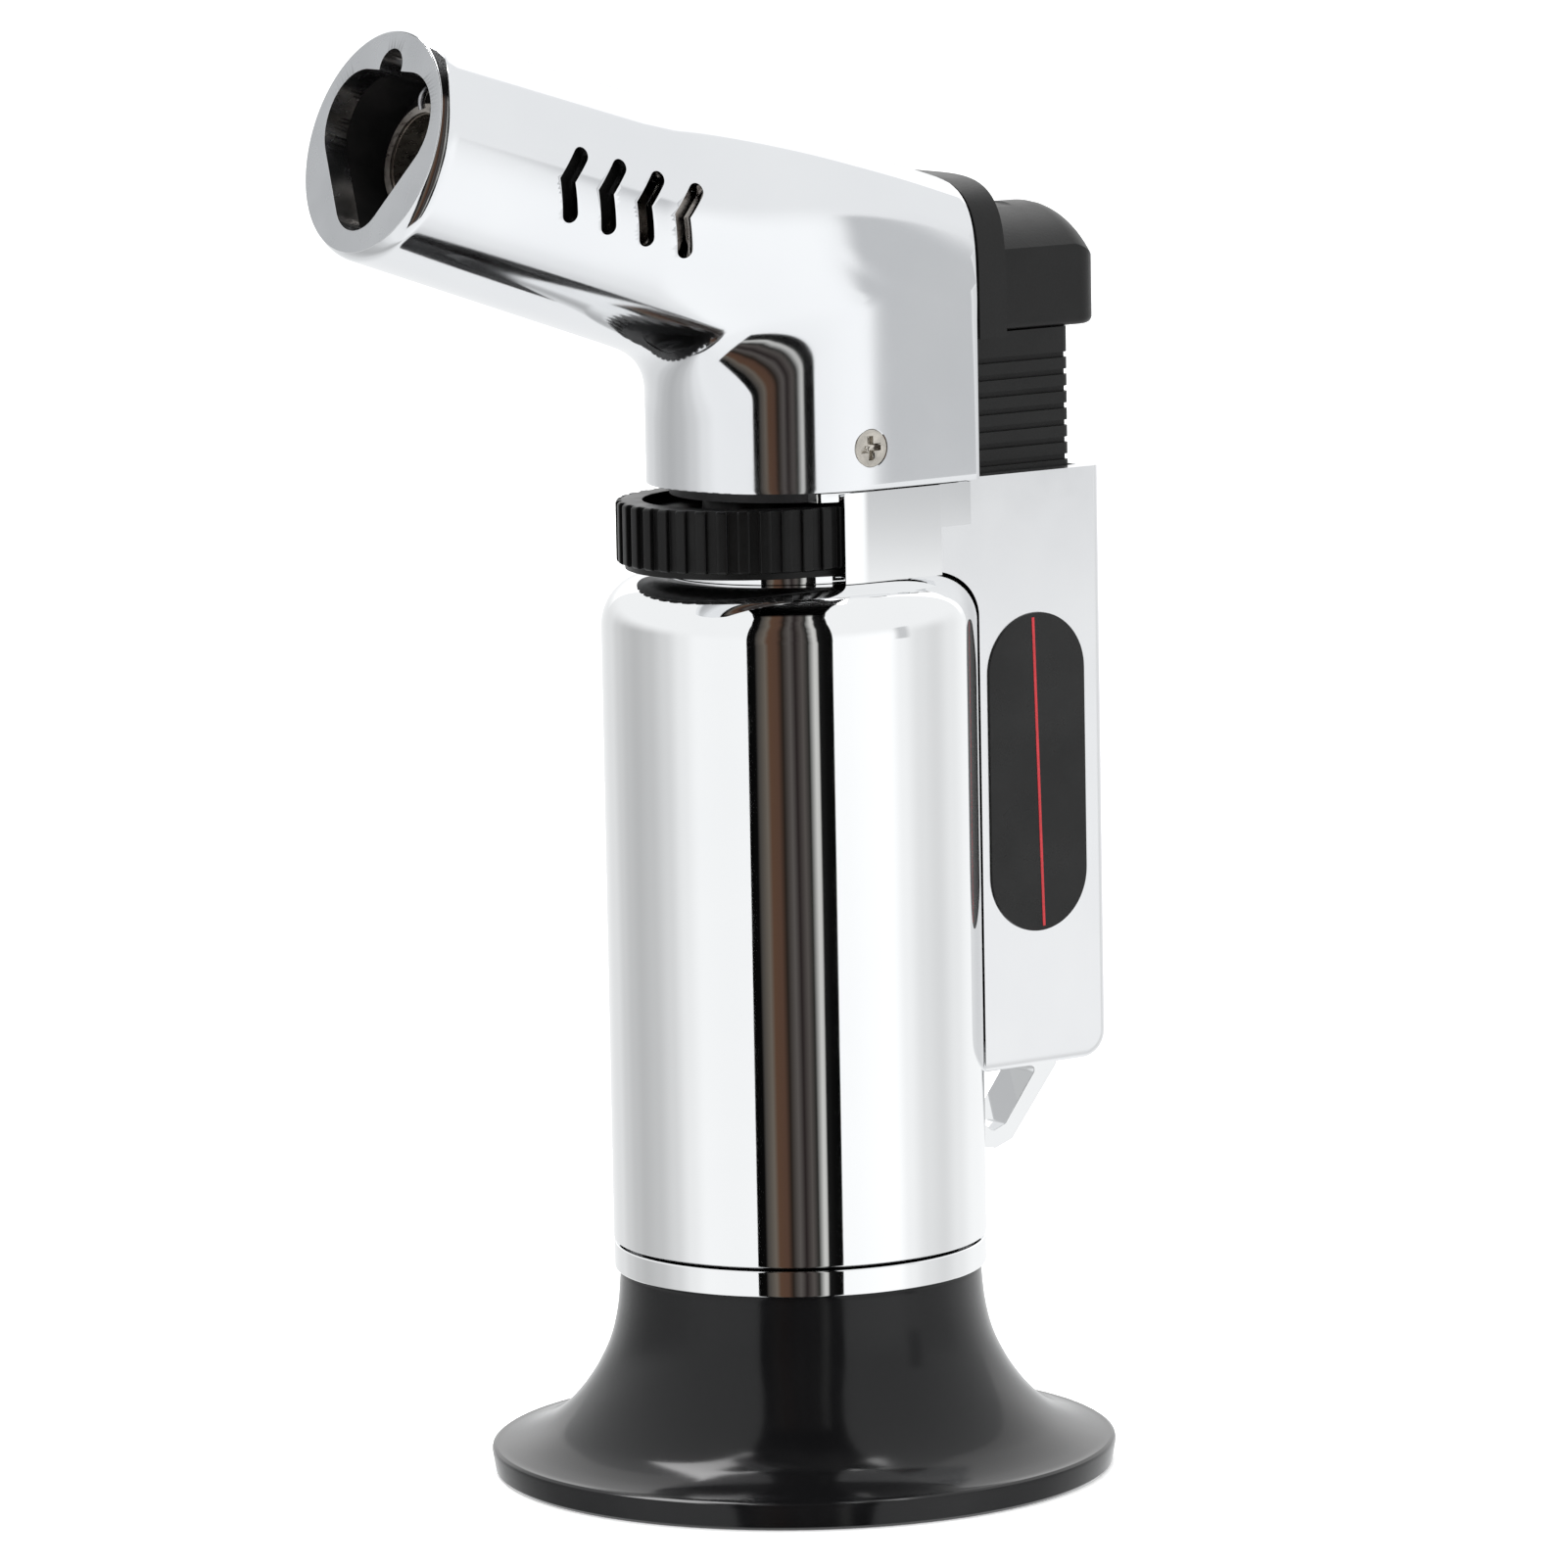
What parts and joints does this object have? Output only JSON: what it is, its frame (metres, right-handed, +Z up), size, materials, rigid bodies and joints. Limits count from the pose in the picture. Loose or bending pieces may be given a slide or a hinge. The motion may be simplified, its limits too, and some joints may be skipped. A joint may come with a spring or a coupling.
{
  "type": "butane torch",
  "caption": "Upright jeweller's gas torch: chromed tank and raised barrel on a flared foot, toothed flame dial, ribbed trigger over a slim handle with a hanging loop.",
  "frame": {"origin": "centre of the foot's underside, on the tank's axis", "axes": "+Z up along the tank, nozzle towards -Y and tilted up, trigger and handle towards +Y, X across"},
  "size_m": [0.068, 0.0911, 0.1583],
  "materials": {
    "foot_gloss": "moulded, glossy black",
    "chrome": "polished chrome plate",
    "handle_chrome": "chrome plate with a soft satin skin",
    "tank_alloy": "plain drawn",
    "brass": "turned",
    "seal_rubber": "matte",
    "spring_steel": "drawn wire",
    "hose_plastic": "translucent tube",
    "frame_plastic": "moulded black",
    "dial_plastic": "moulded black, semi-matte",
    "screw_nickel": "nickel plated",
    "face_metal": "satin die-cast",
    "liner_ceramic": "heat-proof black moulding",
    "burner_steel": "heat-tinted",
    "insulator_ceramic": "unglazed white",
    "lead_sleeve": "silicone sleeve",
    "label_black": "printed foil, near black",
    "label_red": "printed red",
    "trigger_plastic": "moulded black, satin",
    "piezo_case": "moulded grey-white"
  },
  "bodies": {
    "torch": {"stand_base": "foot_gloss", "base_ring": "chrome", "tank_shell": "chrome", "fuel_tank": "tank_alloy", "refill_valve_body": "brass", "refill_spring": "spring_steel", "outlet_valve_body": "brass", "outlet_spring": "spring_steel", "pickup_tube": "hose_plastic", "collar": "chrome", "valve_frame": "frame_plastic", "lever_pin": "spring_steel", "head_shell": "chrome", "head_screws": "screw_nickel", "nozzle_face": "face_metal", "nozzle_liner": "liner_ceramic", "burner_tube": "burner_steel", "burner_holder": "liner_ceramic", "flame_gauze": "burner_steel", "gas_jet": "brass", "gas_hose": "hose_plastic", "electrode_insulator": "insulator_ceramic", "electrode_wire": "spring_steel", "spark_lead": "lead_sleeve", "handle_shell": "handle_chrome", "label_plates": "label_black", "label_stripes": "label_red", "hanging_loop": "chrome", "guide_post": "frame_plastic", "trigger_spring": "spring_steel"},
    "dial": {"flame_dial": "dial_plastic"},
    "trigger": {"trigger_pad": "trigger_plastic", "trigger_slide": "trigger_plastic", "piezo_plunger": "piezo_case"},
    "igniter": {"piezo_body": "piezo_case", "piezo_spring": "spring_steel"},
    "lever": {"valve_lever": "spring_steel"},
    "outlet": {"outlet_stem": "brass", "outlet_seal": "seal_rubber"},
    "refill": {"refill_stem": "brass", "refill_seal": "seal_rubber"}
  },
  "joints": [
    {"name": "dial_turn", "type": "hinge", "parent": "torch", "child": "dial", "pos_m": [0, -0.005, 0.103], "axis": [0, 0, 1], "range_deg": [-45, 45]},
    {"name": "trigger_press", "type": "slide", "parent": "torch", "child": "trigger", "axis": [0, 0, -1], "range_m": [0, 0.008], "stiffness_N_per_m": 250, "springref_m": -0.012, "deforming": ["trigger_spring", "piezo_spring"]},
    {"name": "igniter_sink", "type": "slide", "parent": "torch", "child": "igniter", "axis": [0, 0, -1], "range_m": [0, 0.0016]},
    {"name": "lever_rock", "type": "hinge", "parent": "torch", "child": "lever", "pos_m": [0, 0.008, 0.11], "axis": [-1, 0, 0], "range_deg": [0, 5.4]},
    {"name": "outlet_lift", "type": "slide", "parent": "torch", "child": "outlet", "axis": [0, 0, 1], "range_m": [0, 0.00125], "deforming": ["outlet_spring"]},
    {"name": "refill_push", "type": "slide", "parent": "torch", "child": "refill", "axis": [0, 0, 1], "range_m": [0, 0.0015], "stiffness_N_per_m": 600, "springref_m": -0.002, "deforming": ["refill_spring"]}
  ],
  "couplings": [
    {"joint": "igniter_sink", "follows": "trigger_press", "ratio": 0.2},
    {"joint": "lever_rock", "follows": "trigger_press", "rad_per_m": 11.7},
    {"joint": "outlet_lift", "follows": "trigger_press", "ratio": 0.155}
  ]
}
